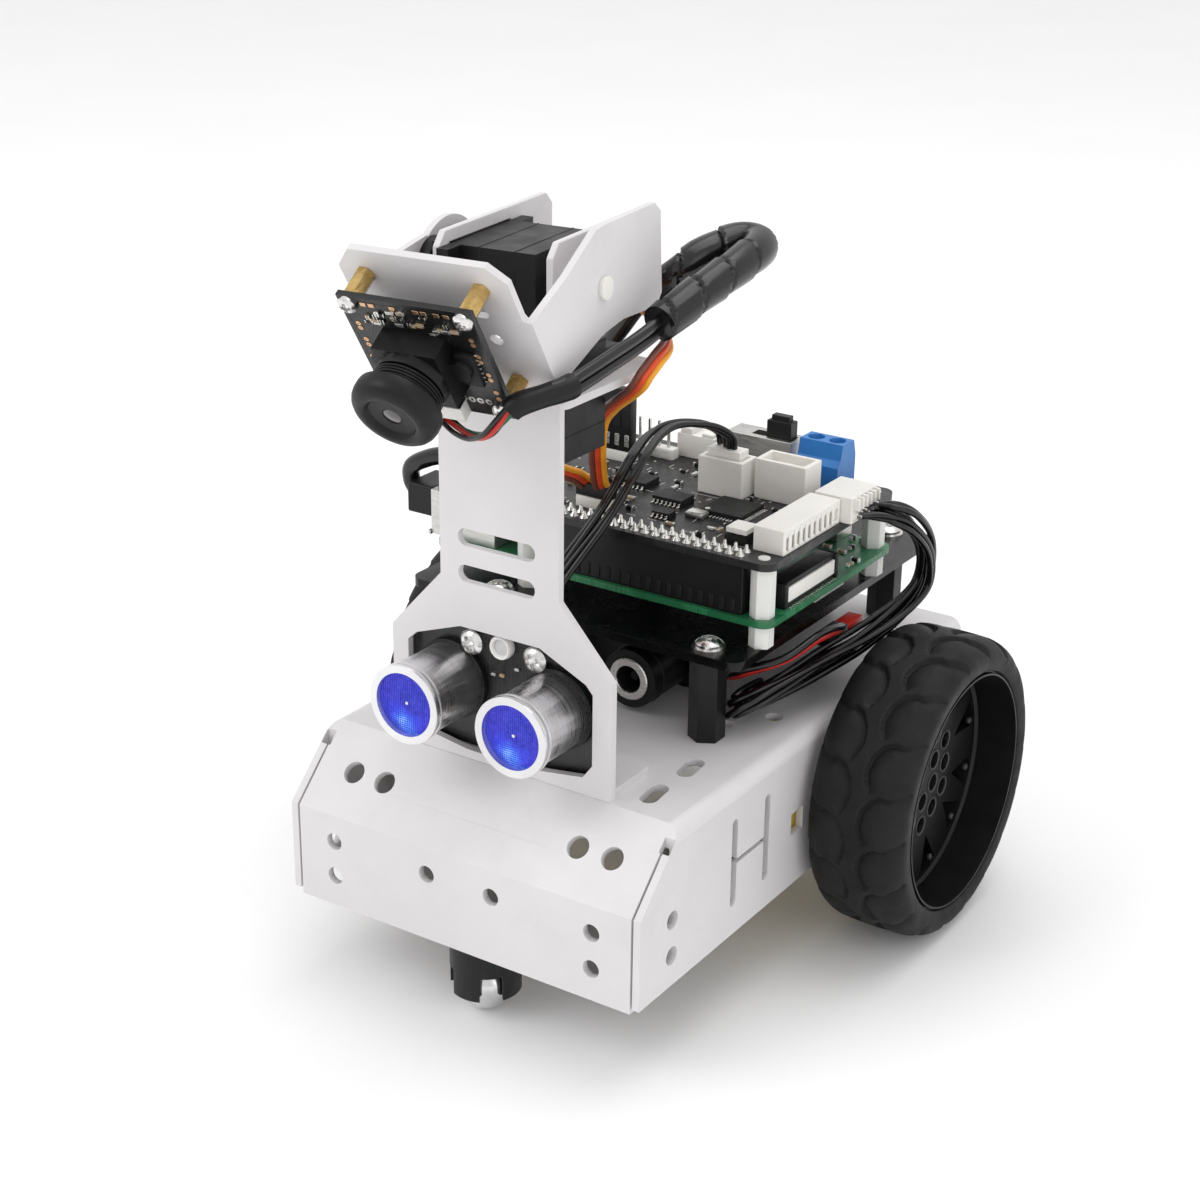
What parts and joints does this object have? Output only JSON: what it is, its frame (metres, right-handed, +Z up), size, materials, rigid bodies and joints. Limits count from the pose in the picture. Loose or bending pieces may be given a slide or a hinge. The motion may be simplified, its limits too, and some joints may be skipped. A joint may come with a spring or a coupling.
{
  "type": "two wheel robot car",
  "caption": "Two-wheeled robot car: folded sheet chassis, ball caster, stacked controller boards, distance sensor, and a camera on a pan and tilt mast.",
  "frame": {"origin": "on the ground, under the middle of the car's outline", "axes": "+Z up; the car's front faces -Y; +X is the side of the right wheel, seen from above with the front at the bottom"},
  "size_m": [0.1352, 0.1646, 0.1641],
  "materials": {
    "white_sheet": "satin",
    "screw_steel": "polished",
    "black_board": "satin",
    "carrier_black": "satin",
    "can_metal": "brushed",
    "blue_glow": "glowing mesh",
    "white_plastic": "satin",
    "black_plastic": "satin",
    "ball_steel": "polished",
    "yellow_plastic": "satin",
    "shell_metal": "brushed",
    "ivory_plastic": "satin",
    "rim_plastic": "satin",
    "tyre_rubber": "matt",
    "white_nylon": "translucent",
    "green_board": "satin",
    "chip_black": "satin",
    "pin_metal": "tinned",
    "blue_plastic": "satin",
    "wrap_black": "shrink film",
    "socket_black": "satin",
    "servo_black": "satin",
    "brass_pillar": "turned",
    "lens_black": "black anodised",
    "lead_black": "satin",
    "lead_orange": "satin",
    "lead_red": "satin"
  },
  "bodies": {
    "chassis": {"chassis_shell": "white_sheet", "fixing_screws": "screw_steel", "mast_bracket": "white_sheet", "sensor_board": "black_board", "sensor_cans": "can_metal", "sensor_lights": "blue_glow", "sensor_screws": "screw_steel", "sensor_parts": "white_plastic", "caster_housing": "black_plastic", "motor_gearbox_left": "yellow_plastic", "motor_gearbox_right": "yellow_plastic", "motor_can_left": "shell_metal", "motor_can_right": "shell_metal", "motor_screws": "screw_steel", "carrier_plate": "carrier_black", "plate_pillars": "black_plastic", "plate_screws": "screw_steel", "board_pillars": "white_nylon", "computer_board": "green_board", "computer_parts": "shell_metal", "usb_ports": "shell_metal", "pin_socket": "black_plastic", "controller_board": "black_board", "controller_chips": "chip_black", "sensor_sockets": "white_plastic", "motor_socket": "white_plastic", "controller_headers": "pin_metal", "push_button_base": "black_plastic", "switch_case": "shell_metal", "power_terminal": "blue_plastic", "terminal_screws": "screw_steel", "battery_pack": "wrap_black", "battery_socket": "socket_black", "turn_servo": "servo_black", "camera_lead": "lead_black", "lead_plug": "black_plastic", "servo_leads": "lead_orange", "sensor_lead": "lead_black", "motor_lead": "lead_black", "power_lead": "lead_red"},
    "caster_wheel": {"caster_ball": "ball_steel"},
    "wheel_right": {"wheel_shaft_right": "ivory_plastic", "wheel_rim_right": "rim_plastic", "wheel_tyre_right": "tyre_rubber"},
    "wheel_left": {"wheel_shaft_left": "ivory_plastic", "wheel_rim_left": "rim_plastic", "wheel_tyre_left": "tyre_rubber"},
    "head_turn": {"turn_servo_horn": "white_nylon", "head_yoke": "white_sheet", "tilt_servo": "servo_black"},
    "head_tilt": {"tilt_servo_horn": "black_plastic", "tilt_pivot": "white_nylon", "camera_bracket": "white_sheet", "camera_board_plate": "black_board", "camera_pillars": "brass_pillar", "camera_screws": "screw_steel", "lens_holder": "black_plastic"},
    "lens": {"lens_barrel": "lens_black"},
    "button": {"push_button_cap": "white_plastic"},
    "power_slide": {"switch_knob": "black_plastic"}
  },
  "joints": [
    {"name": "wheel_right_spin", "type": "hinge", "parent": "chassis", "child": "wheel_right", "pos_m": [0, 0.0363, 0.0337], "axis": [1, 0, 0], "continuous": true},
    {"name": "wheel_left_spin", "type": "hinge", "parent": "chassis", "child": "wheel_left", "pos_m": [0, 0.0363, 0.0337], "axis": [1, 0, 0], "continuous": true},
    {"name": "caster_roll", "type": "hinge", "parent": "chassis", "child": "caster_wheel", "pos_m": [0, -0.0479, 0.006], "axis": [1, 0, 0], "continuous": true},
    {"name": "head_pan", "type": "hinge", "parent": "chassis", "child": "head_turn", "pos_m": [0, -0.0313, 0.144], "axis": [0, 0, 1], "range_deg": [-60, 60], "deforming": ["camera_lead", "servo_leads"]},
    {"name": "head_nod", "type": "hinge", "parent": "head_turn", "child": "head_tilt", "pos_m": [0, -0.0349, 0.1522], "axis": [0.9949, 0.1011, 0], "range_deg": [-28, 12], "deforming": ["camera_lead"]},
    {"name": "lens_focus", "type": "hinge", "parent": "head_tilt", "child": "lens", "pos_m": [0.00108, -0.06535, 0.14363], "axis": [0.0838, -0.8248, -0.5592], "range_deg": [-180, 180]},
    {"name": "button_press", "type": "slide", "parent": "chassis", "child": "button", "axis": [0, 0, -1], "range_m": [0, 0.0003], "stiffness_N_per_m": 4000},
    {"name": "power_switch", "type": "slide", "parent": "chassis", "child": "power_slide", "axis": [1, 0, 0], "range_m": [-0.0036, 0]}
  ]
}
